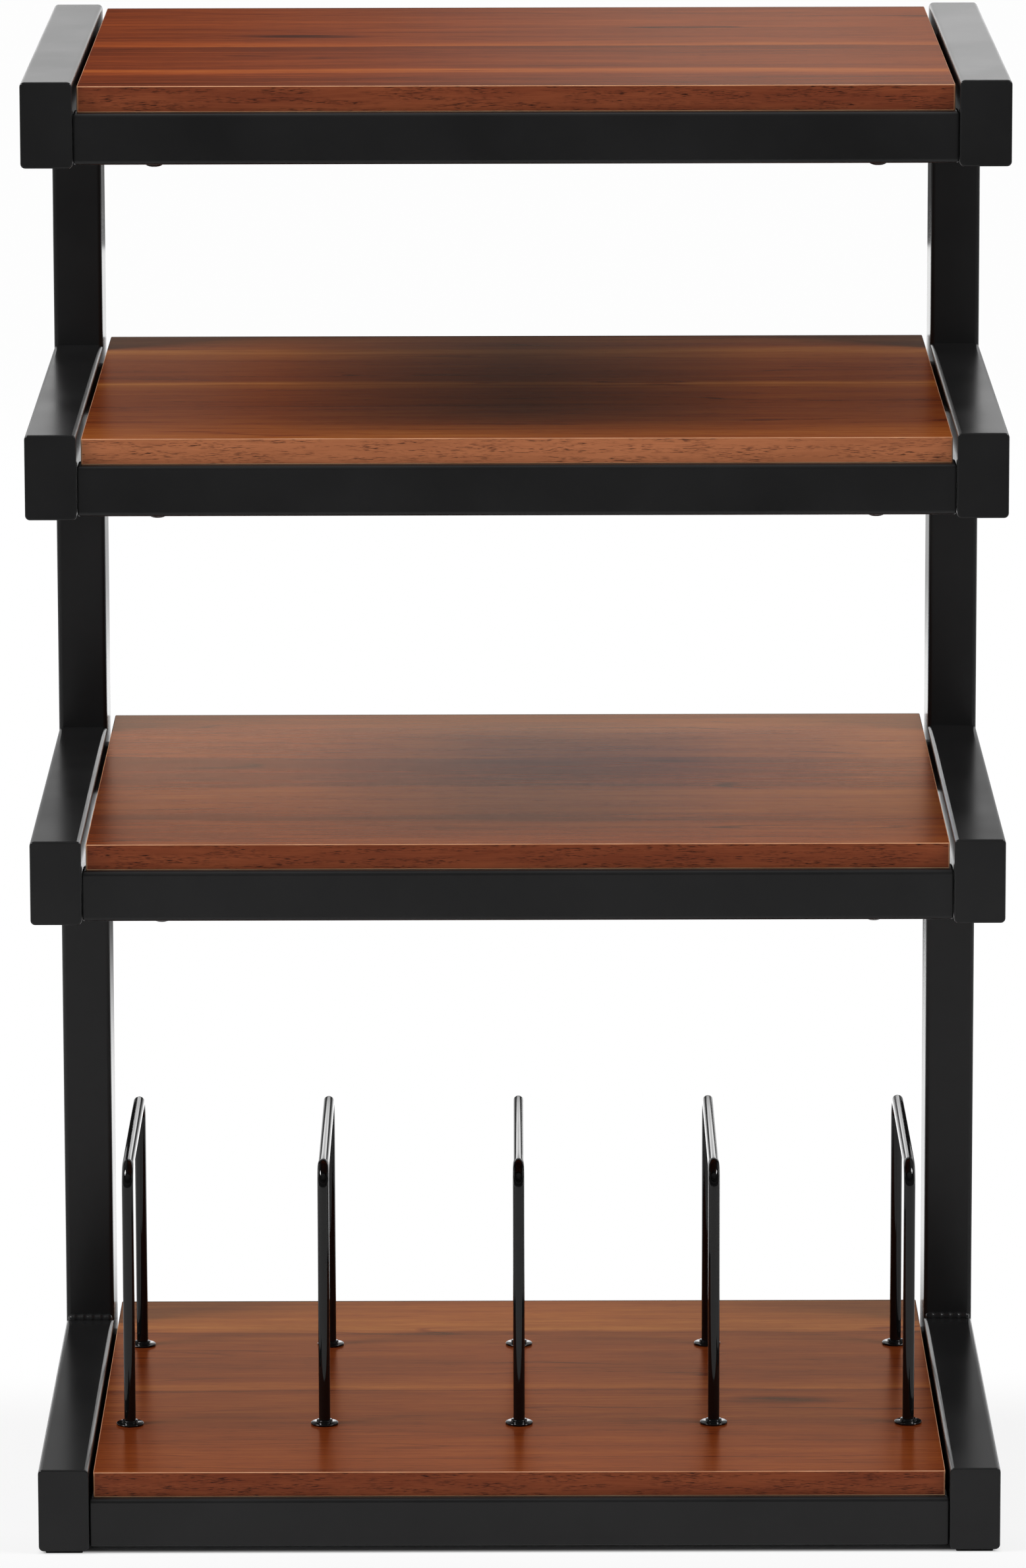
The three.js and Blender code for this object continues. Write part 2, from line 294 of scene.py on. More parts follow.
# Walnut foil on the boards. Tone 0 is the darkest wood and 1 the most orange. A stretch gives how often
# a pattern changes in each metre of width, depth and height. A knot fades out 1 / perDepth of the
# board's depth away from its middle, and 1 / perMetre of a metre along the grain.
walnut = {
    "tones": [
        (0.0, (0.040, 0.0080, 0.0038)),
        (0.3, (0.130, 0.0230, 0.0070)),
        (0.55, (0.235, 0.0470, 0.0105)),
        (0.8, (0.350, 0.0960, 0.0180)),
        (1.0, (0.480, 0.1750, 0.0380)),
    ],
    "wave": {"stretch": (3.2, 8, 40), "detail": 4, "share": 0.08},
    "grain": {
        "mottle": {"stretch": (9, 75, 40), "detail": 4, "roughness": 0.6, "share": 0.46},
        "streaks": {"stretch": (3.5, 260, 40), "detail": 5, "roughness": 0.7, "share": 0.36},
        "fibre": {"stretch": (22, 1250, 40), "detail": 4, "roughness": 0.7, "share": 0.46},
    },
    "hairlines": {"count": 24, "flow": (2.2, 20, 40), "bend": 5.0, "width": 0.05, "depth": 0.4},
    "hairlinePatches": {"stretch": (5, 55, 40), "shift": (3.1, 1.7, 0), "shown": (0.46, 0.66)},
    "pores": {"stretch": (70, 1500, 40), "shift": (0.7, 2.3, 0), "shown": (0.6, 0.74), "depth": 0.28},
    "line": {"width": 0.0022, "depth": 0.28},
    "knot": {"perDepth": 30.0, "perMetre": 19.0, "depth": 0.8, "fade": (0.35, 0.6), "faintest": 0.25},
    # painted shade along the rear edge of each board
    "paintedRearShade": {"starts": 2.6 * mm, "full": 1.6 * mm, "depth": 0.7},
    "fibreStrength": 0.12,
    "fibreHeight": 0.03 * mm,
    "roughness": 0.27,
    "sheenTint": (1.0, 0.87, 0.73),
    "sheenReach": 0.26,
}

# Each board has its own bands and dark lines across the depth, from the front edge (0) to the rear (1).
# The drift is how much its tone rises in each metre to the right. A knot has its place along the board,
# in metres, and across it. The top board's sheen fades from its right edge (1) to its left one (0), a
# painted reflection, and the lower board's sheen is raised above the others' as painted reflection too.
boardWood = {
    "top": {
        "bands": [
            (0.0, 0.24), (0.06, 0.31), (0.12, 0.32), (0.165, 0.6), (0.19, 0.71), (0.215, 0.34),
            (0.3, 0.42), (0.42, 0.31), (0.478, 0.28), (0.488, 0.66), (0.53, 0.51), (0.56, 0.41),
            (0.66, 0.38), (0.8, 0.46), (0.9, 0.39), (1.0, 0.37),
        ],
        "drift": 0.2,
        "lines": [0.155, 0.483],
        "knots": [(-0.13, 0.62)],
        # painted reflection: the top board mirrors less towards its left edge
        "sheen": [
            (0.0, 0.045), (0.05, 0.052), (0.16, 0.076), (0.325, 0.126), (0.5, 0.212), (0.675, 0.29),
            (0.84, 0.312), (0.95, 0.29), (1.0, 0.28),
        ],
    },
    "upper": {
        "bands": [
            (0.0, 0.72), (0.05, 0.78), (0.14, 0.6), (0.25, 0.57), (0.31, 0.5), (0.36, 0.54),
            (0.46, 0.58), (0.5, 0.76), (0.525, 0.93), (0.55, 0.5), (0.65, 0.55), (0.75, 0.6),
            (0.83, 0.88), (0.88, 0.6), (0.95, 0.72), (1.0, 0.45),
        ],
        "drift": 0.0,
        "lines": [0.05, 0.508],
        "knots": [],
        "sheen": 0.38,
    },
    "lower": {
        "bands": [
            (0.0, 0.58), (0.06, 0.5), (0.15, 0.58), (0.185, 0.44), (0.24, 0.62), (0.4, 0.67),
            (0.43, 0.5), (0.56, 0.48), (0.64, 0.43), (0.66, 0.62), (0.86, 0.58), (0.9, 0.58),
            (0.95, 0.58), (1.0, 0.5),
        ],
        "drift": 0.2,
        "lines": [0.185, 0.43, 0.652],
        "knots": [],
        # painted reflection: this board mirrors more than the others
        "sheen": 0.47,
    },
    "base": {
        "bands": [
            (0.0, 0.51), (0.12, 0.57), (0.26, 0.47), (0.3, 0.54), (0.42, 0.6), (0.46, 0.46),
            (0.475, 0.75), (0.52, 0.56), (0.6, 0.47), (0.68, 0.55), (0.78, 0.57), (0.8, 0.46),
            (0.815, 0.82), (0.86, 0.8), (0.93, 0.72), (1.0, 0.7),
        ],
        "drift": 0.0,
        "lines": [0.462, 0.803],
        "knots": [(0.16, 0.4)],
        "sheen": 0.38,
    },
}


def hairlines(tree, coords, depth):
    # they follow the grain and come and go
    look = walnut["hairlines"]
    patches = walnut["hairlinePatches"]
    flow = noise(tree, coords, look["flow"])
    rings = calc(tree, "MULTIPLY_ADD", depth, look["count"], calc(tree, "MULTIPLY", flow, look["bend"]))
    away = calc(tree, "PINGPONG", rings, 0.5)
    hairline = remap(tree, away, 0.0, look["width"], look["depth"], 0.0)
    patch = noise(tree, coords, patches["stretch"], shift=patches["shift"])
    return calc(tree, "MULTIPLY", hairline, remap(tree, patch, *patches["shown"]))


def darkLine(tree, depth, place):
    away = calc(tree, "ABSOLUTE", calc(tree, "SUBTRACT", depth, place))
    return remap(tree, away, 0.0, walnut["line"]["width"], walnut["line"]["depth"], 0.0)


def smallKnot(tree, depth, x, knotPlace, mottle):
    look = walnut["knot"]
    knotX, knotDepth = knotPlace
    across = calc(tree, "MULTIPLY", calc(tree, "SUBTRACT", depth, knotDepth), look["perDepth"])
    along = calc(tree, "MULTIPLY", calc(tree, "SUBTRACT", x, knotX), look["perMetre"])
    squares = calc(tree, "ADD", calc(tree, "POWER", across, 2.0), calc(tree, "POWER", along, 2.0))
    knot = remap(tree, calc(tree, "SQRT", squares), 0.0, 1.0, look["depth"], 0.0, smooth=True)
    return calc(tree, "MULTIPLY", knot, remap(tree, mottle, *look["fade"], look["faintest"], 1.0))


def walnutTop(level, low, high):
    material, tree = newTree("walnutTop_" + level)
    wood = boardWood[level]
    coords = objectCoords(tree)
    x, y, _ = axesOf(tree, coords)
    # depth across the board, slightly wavy along the grain
    wave = noise(tree, coords, walnut["wave"]["stretch"], walnut["wave"]["detail"])
    depth = sway(tree, remap(tree, y, low.y, high.y), wave, walnut["wave"]["share"])
    tone = ramp(tree, depth, wood["bands"])
    if wood["drift"]:
        tone = calc(tree, "MULTIPLY_ADD", x, wood["drift"], tone)
    patterns = {}
    for name, grain in walnut["grain"].items():
        patterns[name] = noise(tree, coords, grain["stretch"], grain["detail"], grain["roughness"])
        tone = sway(tree, tone, patterns[name], grain["share"])
    marks = [hairlines(tree, coords, depth)]
    pores = noise(tree, coords, walnut["pores"]["stretch"], shift=walnut["pores"]["shift"])
    marks.append(remap(tree, pores, *walnut["pores"]["shown"], 0.0, walnut["pores"]["depth"]))
    marks += [darkLine(tree, depth, place) for place in wood["lines"]]
    # painted shade: the foil is darkened along its rear edge, where the board meets the rear rail
    dark = walnut["paintedRearShade"]
    marks.append(remap(tree, y, high.y - dark["starts"], high.y - dark["full"], 0.0, dark["depth"]))
    marks += [smallKnot(tree, depth, x, place, patterns["mottle"]) for place in wood["knots"]]
    for mark in marks:
        tone = calc(tree, "SUBTRACT", tone, mark)
    colour = ramp(tree, tone, walnut["tones"])
    sheen = wood["sheen"]
    # on the top board the sheen is a painted reflection that fades across it
    if isinstance(sheen, list):
        sheen = ramp(tree, remap(tree, x, -walnut["sheenReach"], walnut["sheenReach"]), sheen)
    normal = bump(tree, patterns["fibre"], walnut["fibreStrength"], walnut["fibreHeight"])
    shader = surface(tree, colour, walnut["roughness"], normal=normal, metallic=sheen)
    shader.inputs["Specular IOR Level"].default_value = 0
    plug(tree, walnut["sheenTint"], shader.inputs["Specular Tint"])
    return material


# Edge banding: a flatter brown with short dark dashes along the grain, lighter on the upper board.
# Each pattern has its stretch along the grain and across it.
banding = {
    "plain": {
        "wood": (0.180, 0.0400, 0.0150),
        "light": (0.262, 0.0660, 0.0240),
        "dash": (0.028, 0.0075, 0.0045),
    },
    "upper": {
        "wood": (0.390, 0.1310, 0.0550),
        "light": (0.495, 0.1750, 0.0750),
        "dash": (0.085, 0.0280, 0.0140),
    },
    "roughness": (0.36, 0.48),
    "ior": 1.2,
    "cloud": (9, 120),
    "fibre": (45, 1300),
    "fibreShare": 0.8,
    "lightFrom": (0.3, 0.75),
    "dashes": (190, 2600),
    "dashFrom": (0.52, 0.64),
    "clusters": (26, 300),
    "clusterFrom": (0.4, 0.58),
    "fibreStrength": 0.2,
    "fibreHeight": 0.04 * mm,
}


def edgeBanding(name, look, grainAxis):
    material, tree = newTree(name)
    coords = objectCoords(tree)

    def stretched(pattern):
        along, across = banding[pattern]
        return [along if axis == grainAxis else across for axis in range(3)]

    cloud = noise(tree, coords, stretched("cloud"), detail=3)
    fibre = noise(tree, coords, stretched("fibre"), detail=3, roughness=0.6)
    dashes = noise(tree, coords, stretched("dashes"))
    clusters = noise(tree, coords, stretched("clusters"))
    dashed = remap(tree, dashes, *banding["dashFrom"])
    dashed = calc(tree, "MULTIPLY", dashed, remap(tree, clusters, *banding["clusterFrom"]))
    mix = sway(tree, cloud, fibre, banding["fibreShare"], clamp=True)
    wood = blendColour(tree, remap(tree, mix, *banding["lightFrom"]), look["wood"], look["light"])
    colour = blendColour(tree, dashed, wood, look["dash"])
    roughness = remap(tree, fibre, *usualNoise, *banding["roughness"])
    normal = bump(tree, fibre, banding["fibreStrength"], banding["fibreHeight"])
    surface(tree, colour, roughness, banding["ior"], normal)
    return material


# The scraped edges of a board, lighter than the foil and the banding. Part of that lightness is painted
# highlight, most of all on the lower edges.
arris = {
    "upper": [(0.35, (0.42, 0.185, 0.090)), (0.65, (0.58, 0.29, 0.155))],
    # painted highlight: the lower edges are coloured far lighter than any wood
    "lower": [(0.35, (0.85, 0.42, 0.210)), (0.65, (0.98, 0.58, 0.330))],
    "patchesPerMetre": 30,
    "roughness": 0.5,
    "ior": 1.3,
}


def scrapedArris(edge):
    material, tree = newTree("scrapedArris_" + edge)
    patch = noise(tree, objectCoords(tree), (arris["patchesPerMetre"],) * 3, detail=3)
    surface(tree, ramp(tree, patch, arris[edge]), arris["roughness"], arris["ior"])
    return material


steelCoat = satinCoat()
wireCoat = glossBlack()
screwCoat = screwBlack()
stripRubber = footRubber()
arrisWoodAndHighlight = [scrapedArris("upper"), scrapedArris("lower")]
bandedSides = {
    "plain": [
        edgeBanding("bandingFront", banding["plain"], 0),
        edgeBanding("bandingSide", banding["plain"], 1),
    ],
    "upper": [
        edgeBanding("bandingUpperFront", banding["upper"], 0),
        edgeBanding("bandingUpperSide", banding["upper"], 1),
    ],
}
print("metal, screw, rubber and edge finishes made")


# Small helpers for meshes
mergeDistance = 0.001 * mm
sharpAngle = math.radians(50)
noMove = (0, 0, 0)


def placeMesh(name, bm, materials):
    mesh = bpy.data.meshes.new(name)
    bm.to_mesh(mesh)
    bm.free()
    for material in materials:
        mesh.materials.append(material)
    holder = bpy.data.objects.new(name, mesh)
    bpy.context.scene.collection.objects.link(holder)
    return holder


def newPiece(name, bm, materials, slot, *nodes):
    bmesh.ops.remove_doubles(bm, verts=bm.verts, dist=mergeDistance)
    bmesh.ops.recalc_face_normals(bm, faces=bm.faces)
    for face in bm.faces:
        face.smooth = True
    for edge in bm.edges:
        edge.smooth = edge.calc_face_angle(0) < sharpAngle
    piece = placeMesh(name, bm, materials)
    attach(piece, "root")
    if nodes:
        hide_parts(*nodes)
    return piece


def weighNormals(piece):
    weigh = piece.modifiers.new("weigh", "WEIGHTED_NORMAL")
    weigh.weight = 90
    weigh.keep_sharp = True


def applyModifiers(piece):
    bpy.context.view_layer.update()
    solid = bpy.data.meshes.new_from_object(piece.evaluated_get(bpy.context.evaluated_depsgraph_get()))
    piece.modifiers.clear()
    piece.data = solid


def edgesAlong(bm, axis):
    found = []
    for edge in bm.edges:
        line = edge.verts[1].co - edge.verts[0].co
        if abs(line[axis]) > 0.99 * line.length:
            found.append(edge)
    return found


def edgesAt(bm, axis, places, slack=0.01 * mm):
    return [
        edge for edge in bm.edges
        if any(all(abs(vert.co[axis] - place) < slack for vert in edge.verts) for place in places)
    ]


def bevelEdges(bm, edges, offset, segments, material=-1):
    bmesh.ops.bevel(bm, geom=edges, offset=offset, offset_type="OFFSET", segments=segments,
                    profile=0.5, affect="EDGES", clamp_overlap=True, material=material)


# an open outline turns into a closed round shape around an upright axis
def fullTurn(bm, profile, centre, steps):
    bmesh.ops.spin(bm, geom=profile, cent=centre, axis=(0, 0, 1), dvec=noMove, angle=2 * math.pi,
                   steps=steps, use_merge=True, use_duplicate=False)


def boxBetween(low, high):
    bm = bmesh.new()
    bmesh.ops.create_cube(bm, size=1)
    bmesh.ops.scale(bm, vec=high - low, verts=bm.verts)
    bmesh.ops.translate(bm, vec=(low + high) / 2, verts=bm.verts)
    return bm


def roundedBar(low, high, axis, shape, roundEnds=True):
    bm = boxBetween(low, high)
    bevelEdges(bm, edgesAlong(bm, axis), shape["corner"], shape["cornerSegments"])
    if roundEnds:
        ring = edgesAt(bm, axis, (low[axis], high[axis]))
        bevelEdges(bm, ring, shape["endRound"], shape["endSegments"])
    return bm


def pieceName(*words):
    return words[0] + "".join(word.capitalize() for word in words[1:])


# Steel side frames
tube = {"corner": 2.8 * mm, "cornerSegments": 7, "endRound": 1.0 * mm, "endSegments": 4, "seamShare": 0.9}
rail = {"corner": 2.8 * mm, "cornerSegments": 7, "endRound": 1.6 * mm, "endSegments": 5}


def steelPiece(name, bm, node):
    weighNormals(newPiece(name, bm, [steelCoat], "satin_black_steel", node))


def sideTube(level, side):
    node = f"side_tube_{level}_{side}"
    low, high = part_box(node)
    steelPiece(pieceName("sideTube", level, side), roundedBar(low, high, 1, tube), node)


def post(level, side):
    # its seams are filled, so its walls run down and up over the rounded corners of the tubes
    node = f"post_{level}_{side}"
    low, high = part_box(node)
    plainLow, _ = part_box(f"post_lower_{side}")
    low.y = plainLow.y
    low.z -= tube["corner"] * tube["seamShare"]
    high.z += tube["corner"] * tube["seamShare"]
    steelPiece(pieceName("post", level, side), roundedBar(low, high, 2, tube, roundEnds=False), node)


def shelfRail(level, end):
    node = f"{end}_rail_{level}"
    low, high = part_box(node)
    steelPiece(pieceName(end + "Rail", level), roundedBar(low, high, 0, rail), node)


for level in levels:
    for side in sides:
        sideTube(level, side)
        if level != "top":
            post(level, side)
    for end in ends:
        shelfRail(level, end)
print("side frames and rails made")


# Weld bead at the front foot of each base post: a row of lumps that are melted together
bead = {
    "lumps": 14,
    "leg": 3.6 * mm,
    "swellShare": 0.08,
    "rhythm": 2.1,
    "inset": 2.4 * mm,
    "sinkShare": 0.1,
    "overlap": 1.25,
    "flatness": 0.9,
    "voxel": 0.4 * mm,
    "smoothShare": 0.5,
    "smoothSteps": 20,
}


def weldBead(side):
    low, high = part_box(f"post_base_{side}")
    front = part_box(f"post_lower_{side}")[0].y
    seam = high.x - low.x - 2 * bead["inset"]
    step = seam / bead["lumps"]
    bm = bmesh.new()
    for i in range(bead["lumps"]):
        leg = bead["leg"] * (1 + bead["swellShare"] * math.sin(i * bead["rhythm"]))
        sink = leg * bead["sinkShare"]
        place = Matrix.Translation((low.x + bead["inset"] + (i + 0.5) * step, front + sink, low.z + sink))
        size = Matrix.Diagonal((step * bead["overlap"], leg, leg * bead["flatness"], 1))
        bmesh.ops.create_icosphere(bm, subdivisions=3, radius=1, matrix=place @ size)
    piece = newPiece(pieceName("weldBead", side), bm, [steelCoat], "satin_black_steel")
    melt = piece.modifiers.new("melt", "REMESH")
    melt.mode = "VOXEL"
    melt.voxel_size = bead["voxel"]
    melt.use_smooth_shade = True
    flow = piece.modifiers.new("flow", "SMOOTH")
    flow.factor = bead["smoothShare"]
    flow.iterations = bead["smoothSteps"]


for side in sides:
    weldBead(side)
print("weld beads made")


# Shelf boards: foil on top and below, banding round the sides, scraped edges between them that carry
# painted highlight
board = {"corner": 0.9 * mm, "cornerSegments": 2, "arris": 0.45 * mm, "arrisSegments": 2}
boardFaces = ["foil", "frontBanding", "sideBanding", "upperArris", "lowerArris"]  # in the materials' order


def shelfBoard(level, banded):
    node = f"shelf_board_{level}"
    low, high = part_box(node)
    bm = boxBetween(low, high)
    for face in bm.faces:
        if abs(face.normal.y) > 0.5:
            face.material_index = boardFaces.index("frontBanding")
        elif abs(face.normal.x) > 0.5:
            face.material_index = boardFaces.index("sideBanding")
    upright = edgesAlong(bm, 2)
    bevelEdges(bm, upright, board["corner"], board["cornerSegments"], boardFaces.index("upperArris"))
    for height, arrisFace in ((high.z, "upperArris"), (low.z, "lowerArris")):
        around = edgesAt(bm, 2, (height,))
        bevelEdges(bm, around, board["arris"], board["arrisSegments"], boardFaces.index(arrisFace))
    materials = [walnutTop(level, low, high), *banded, *arrisWoodAndHighlight]
    weighNormals(newPiece(pieceName("shelfBoard", level), bm, materials, "walnut_board", node))


for level in levels:
    shelfBoard(level, bandedSides["upper" if level == "upper" else "plain"])
print("shelf boards made")


# Pan-head screws with a cross recess, head down. The seat is how far a head hangs below what it holds.
screw = {
    "seat": {"shelf": 2.4 * mm, "divider": 2.2 * mm},
    "shankRadius": 2.0 * mm,
    "headSegments": 32,
    "domeSteps": 6,
    "domeFullness": 0.8,
    "recess": 0.52,
    "recessArm": 0.15,
    "recessDepth": 0.6,
}


def screwBody(low, high, middle, radius, depth):
    seat = low.z + depth
    outline = [(0, low.z)]
    for i in range(1, screw["domeSteps"] + 1):
        turn = i / screw["domeSteps"] * math.pi / 2
        outline.append((radius * math.sin(turn) ** screw["domeFullness"], seat - depth * math.cos(turn)))
    outline += [(radius, seat), (screw["shankRadius"], seat), (screw["shankRadius"], high.z), (0, high.z)]
    bm = bmesh.new()
    verts = [bm.verts.new((middle.x + r, middle.y, z)) for r, z in outline]
    fullTurn(bm, [bm.edges.new(pair) for pair in zip(verts, verts[1:])], middle, screw["headSegments"])
    return bm


def cutAway(piece, shape):
    cutter = bpy.data.objects.new("recessCutter", bpy.data.meshes.new("recessCutter"))
    shape.to_mesh(cutter.data)
    bpy.context.scene.collection.objects.link(cutter)
    cut = piece.modifiers.new("cut", "BOOLEAN")
    cut.object = cutter
    cut.operation = "DIFFERENCE"
    cut.solver = "EXACT"
    applyModifiers(piece)
    bpy.data.objects.remove(cutter)


def screwHead(kind, name, node):
    low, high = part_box(node)
    middle = (low + high) / 2
    radius = (high.x - low.x) / 2
    depth = screw["seat"][kind]
    piece = newPiece(name, screwBody(low, high, middle, radius, depth), [screwCoat], "black_screw", node)
    reach = Vector((radius * screw["recess"], radius * screw["recessArm"], 0))
    arm = boxBetween(
        Vector((middle.x, middle.y, low.z - depth)) - reach,
        Vector((middle.x, middle.y, low.z + depth * screw["recessDepth"])) + reach)
    cutAway(piece, arm)
    quarter = Matrix.Rotation(math.pi / 2, 3, "Z")
    bmesh.ops.rotate(arm, cent=middle, matrix=quarter, verts=arm.verts)
    cutAway(piece, arm)
    arm.free()


for level in levels:
    for end in ends:
        for side in sides:
            name = pieceName("shelfScrew", level, end, side)
            screwHead("shelf", name, f"shelf_screw_{level}_{end}_{side}")
for number in dividerNumbers:
    for end in ends:
        name = pieceName("dividerScrew", str(number), end)
        screwHead("divider", name, f"divider_screw_{number}_{end}")
print("screws made")


# Wire dividers
wire = {
    "diameter": 7 * mm,
    "bend": 12 * mm,
    "legSpacing": 185 * mm,
    "segments": 28,
    "bendSteps": 14,
    "legSteps": 12,
    "flangeDiameter": 16.5 * mm,
    "flangeThickness": 1.2 * mm,
    "flangeRound": 0.35 * mm,
    "flangeCutShare": 0.3,
    "collarDiameter": 9.6 * mm,
    "collarHeight": 2.8 * mm,
    "flangeSegments": 48,
}


def extrudeRing(bm, ring, move, steps):
    for _ in range(steps):
        made = bmesh.ops.extrude_edge_only(bm, edges=ring)["geom"]
        verts = [item for item in made if isinstance(item, bmesh.types.BMVert)]
        bmesh.ops.translate(bm, vec=move / steps, verts=verts)
        ahead = set(verts)
        edges = [item for item in made if isinstance(item, bmesh.types.BMEdge)]
        ring = [edge for edge in edges if ahead.issuperset(edge.verts)]
    return ring


def bendRing(bm, ring, centre):
    verts = list({vert for edge in ring for vert in edge.verts})
    made = bmesh.ops.spin(
        bm, geom=verts + ring, cent=centre, axis=(1, 0, 0), dvec=noMove, angle=-math.pi / 2,
        steps=wire["bendSteps"], use_merge=False, use_duplicate=False)["geom_last"]
    return [item for item in made if isinstance(item, bmesh.types.BMEdge)]


def addFlange(bm, x, y, z):
    outer = wire["flangeDiameter"] / 2
    collar = wire["collarDiameter"] / 2
    top = wire["flangeThickness"]
    soft = wire["flangeRound"]
    cut = soft * wire["flangeCutShare"]
    height = wire["collarHeight"]
    outline = [
        (0, 0), (outer - soft, 0), (outer, soft), (outer, top - soft), (outer - cut, top - cut),
        (outer - soft, top), (collar + soft, top), (collar, top + soft), (collar, height - soft),
        (collar - soft, height), (0, height),
    ]
    verts = [bm.verts.new((x + r, y, z + h)) for r, h in outline]
    fullTurn(bm, [bm.edges.new(pair) for pair in zip(verts, verts[1:])], (x, y, z), wire["flangeSegments"])


def divider(number):
    node = f"divider_{number}"
    low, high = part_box(node)
    x = (low.x + high.x) / 2
    middleY = (low.y + high.y) / 2
    radius = wire["diameter"] / 2
    frontY = middleY - wire["legSpacing"] / 2
    rearY = middleY + wire["legSpacing"] / 2
    bend = wire["bend"]
    bendZ = high.z - radius - bend
    bm = bmesh.new()
    foot = Matrix.Translation((x, frontY, low.z))
    circle = bmesh.ops.create_circle(
        bm, cap_ends=False, radius=radius, segments=wire["segments"], matrix=foot)
    ring = list({edge for vert in circle["verts"] for edge in vert.link_edges})
    rise = Vector((0, 0, bendZ - low.z))
    ring = extrudeRing(bm, ring, rise, wire["legSteps"])
    ring = bendRing(bm, ring, (x, frontY + bend, bendZ))
    ring = extrudeRing(bm, ring, Vector((0, wire["legSpacing"] - 2 * bend, 0)), wire["legSteps"])
    ring = bendRing(bm, ring, (x, rearY - bend, bendZ))
    extrudeRing(bm, ring, -rise, wire["legSteps"])
    bmesh.ops.holes_fill(bm, edges=bm.edges, sides=wire["segments"])
    addFlange(bm, x, frontY, low.z)
    addFlange(bm, x, rearY, low.z)
    weighNormals(newPiece(f"divider{number}", bm, [wireCoat], "gloss_black_wire", node))


for number in dividerNumbers:
    divider(number)
print("wire dividers made")


# Rubber strips under the base tubes
strip = {"corner": 1.0 * mm, "cornerSegments": 3, "endRound": 0.3 * mm, "endSegments": 2}


def footStrip(side):
    node = f"foot_strip_{side}"
    bm = roundedBar(*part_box(node), 2, strip)
    weighNormals(newPiece(pieceName("footStrip", side), bm, [stripRubber], "foot_rubber", node))


for side in sides:
    footStrip(side)
print("foot strips made")


# The world is whiter behind the rack and dim ahead of it. One strength gives way to the next within a
# rise or a turn: a rise is a pair of heights, the upward part of a direction, and a turn is a pair of
# its rearward parts.
world = {
    "seenAbove": 0.985,
    "seenRise": (-0.165, -0.15),
    "ambientAhead": 0.95,
    "ambientBehind": 0.42,
    "ambientTurn": (-0.8, 0.8),
    "ambientAbove": 0.22,
    "ambientRise": (0.05, 0.4),
    "ahead": 0.12,
    "behind": 1.7,
    "behindTurn": (0.0, 0.7),
    "byHeight": [(0.0, 1.0), (0.06, 0.85), (0.12, 0.34), (0.16, 0.7), (0.2, 1.9), (0.27, 0.24)],
    "above": 0.25,
    "aboveRise": (0.4, 0.8),
}


def studioWorld():
    studio = bpy.data.worlds.new("studio")
    studio.use_nodes = True
    tree = studio.node_tree
    tree.nodes.clear()
    _, y, z = axesOf(tree, addNode(tree, "ShaderNodeTexCoord").outputs["Generated"])
    # what reflections see
    mirrored = remap(tree, y, *world["behindTurn"], world["ahead"], world["behind"], smooth=True)
    mirrored = calc(tree, "MULTIPLY", mirrored, ramp(tree, z, world["byHeight"]))
    rise = remap(tree, z, *world["aboveRise"], smooth=True)
    mirrored = between(tree, rise, mirrored, world["above"])
    # what lights the rack
    ambient = remap(tree, y, *world["ambientTurn"], world["ambientAhead"], world["ambientBehind"])
    overhead = remap(tree, z, *world["ambientRise"], 1.0, world["ambientAbove"], smooth=True)
    ambient = calc(tree, "MULTIPLY", ambient, overhead)
    path = addNode(tree, "ShaderNodeLightPath").outputs
    strength = between(tree, path["Is Glossy Ray"], ambient, mirrored)
    # what the camera sees
    direct = calc(tree, "ADD", path["Is Camera Ray"], path["Is Transmission Ray"], clamp=True)
    seen = remap(tree, z, *world["seenRise"], 1.0, world["seenAbove"], smooth=True)
    background = addNode(tree, "ShaderNodeBackground")
    plug(tree, (1, 1, 1), background.inputs["Color"])
    plug(tree, between(tree, direct, strength, seen), background.inputs["Strength"])
    output = addNode(tree, "ShaderNodeOutputWorld")
    tree.links.new(background.outputs[0], output.inputs["Surface"])
    bpy.context.scene.world = studio


def mixShaders(tree, share, first, second):
    node = addNode(tree, "ShaderNodeMixShader")
    for source, socket in zip((share, first.outputs[0], second.outputs[0]), node.inputs):
        tree.links.new(source, socket)
    return node


def matt(tree, grey):
    node = addNode(tree, "ShaderNodeBsdfDiffuse")
    plug(tree, (grey, grey, grey), node.inputs["Color"])
    return node


def emission(tree, strength=1.0, colour=(1, 1, 1)):
    node = addNode(tree, "ShaderNodeEmission")
    plug(tree, colour, node.inputs["Color"])
    plug(tree, strength, node.inputs["Strength"])
    return node


# A round floor. The camera sees it fade to white away from the rack and behind it, so the rack's shadow
# stays close. The footprint is just under half the rack's width and depth, and each other pair gives
# the metres between which something changes.
floor = {
    "radius": 3.2,
    "segments": 64,
    "fadeOut": (0.8, 3.04),
    "fadeBehind": (0.07, 0.22),
    "paper": 0.66,
    "shade": 0.16,
    # painted shade: a dimmer glow in front of the rack
    "glow": 0.815,
    "glowInFront": 0.755,
    "frontTurn": (-0.3, -0.15),
    "footprint": (0.281, 0.199),
    "footprintEdge": (-0.004, 0.006),
    "mirrorTurn": (0.25, 0.6),
}


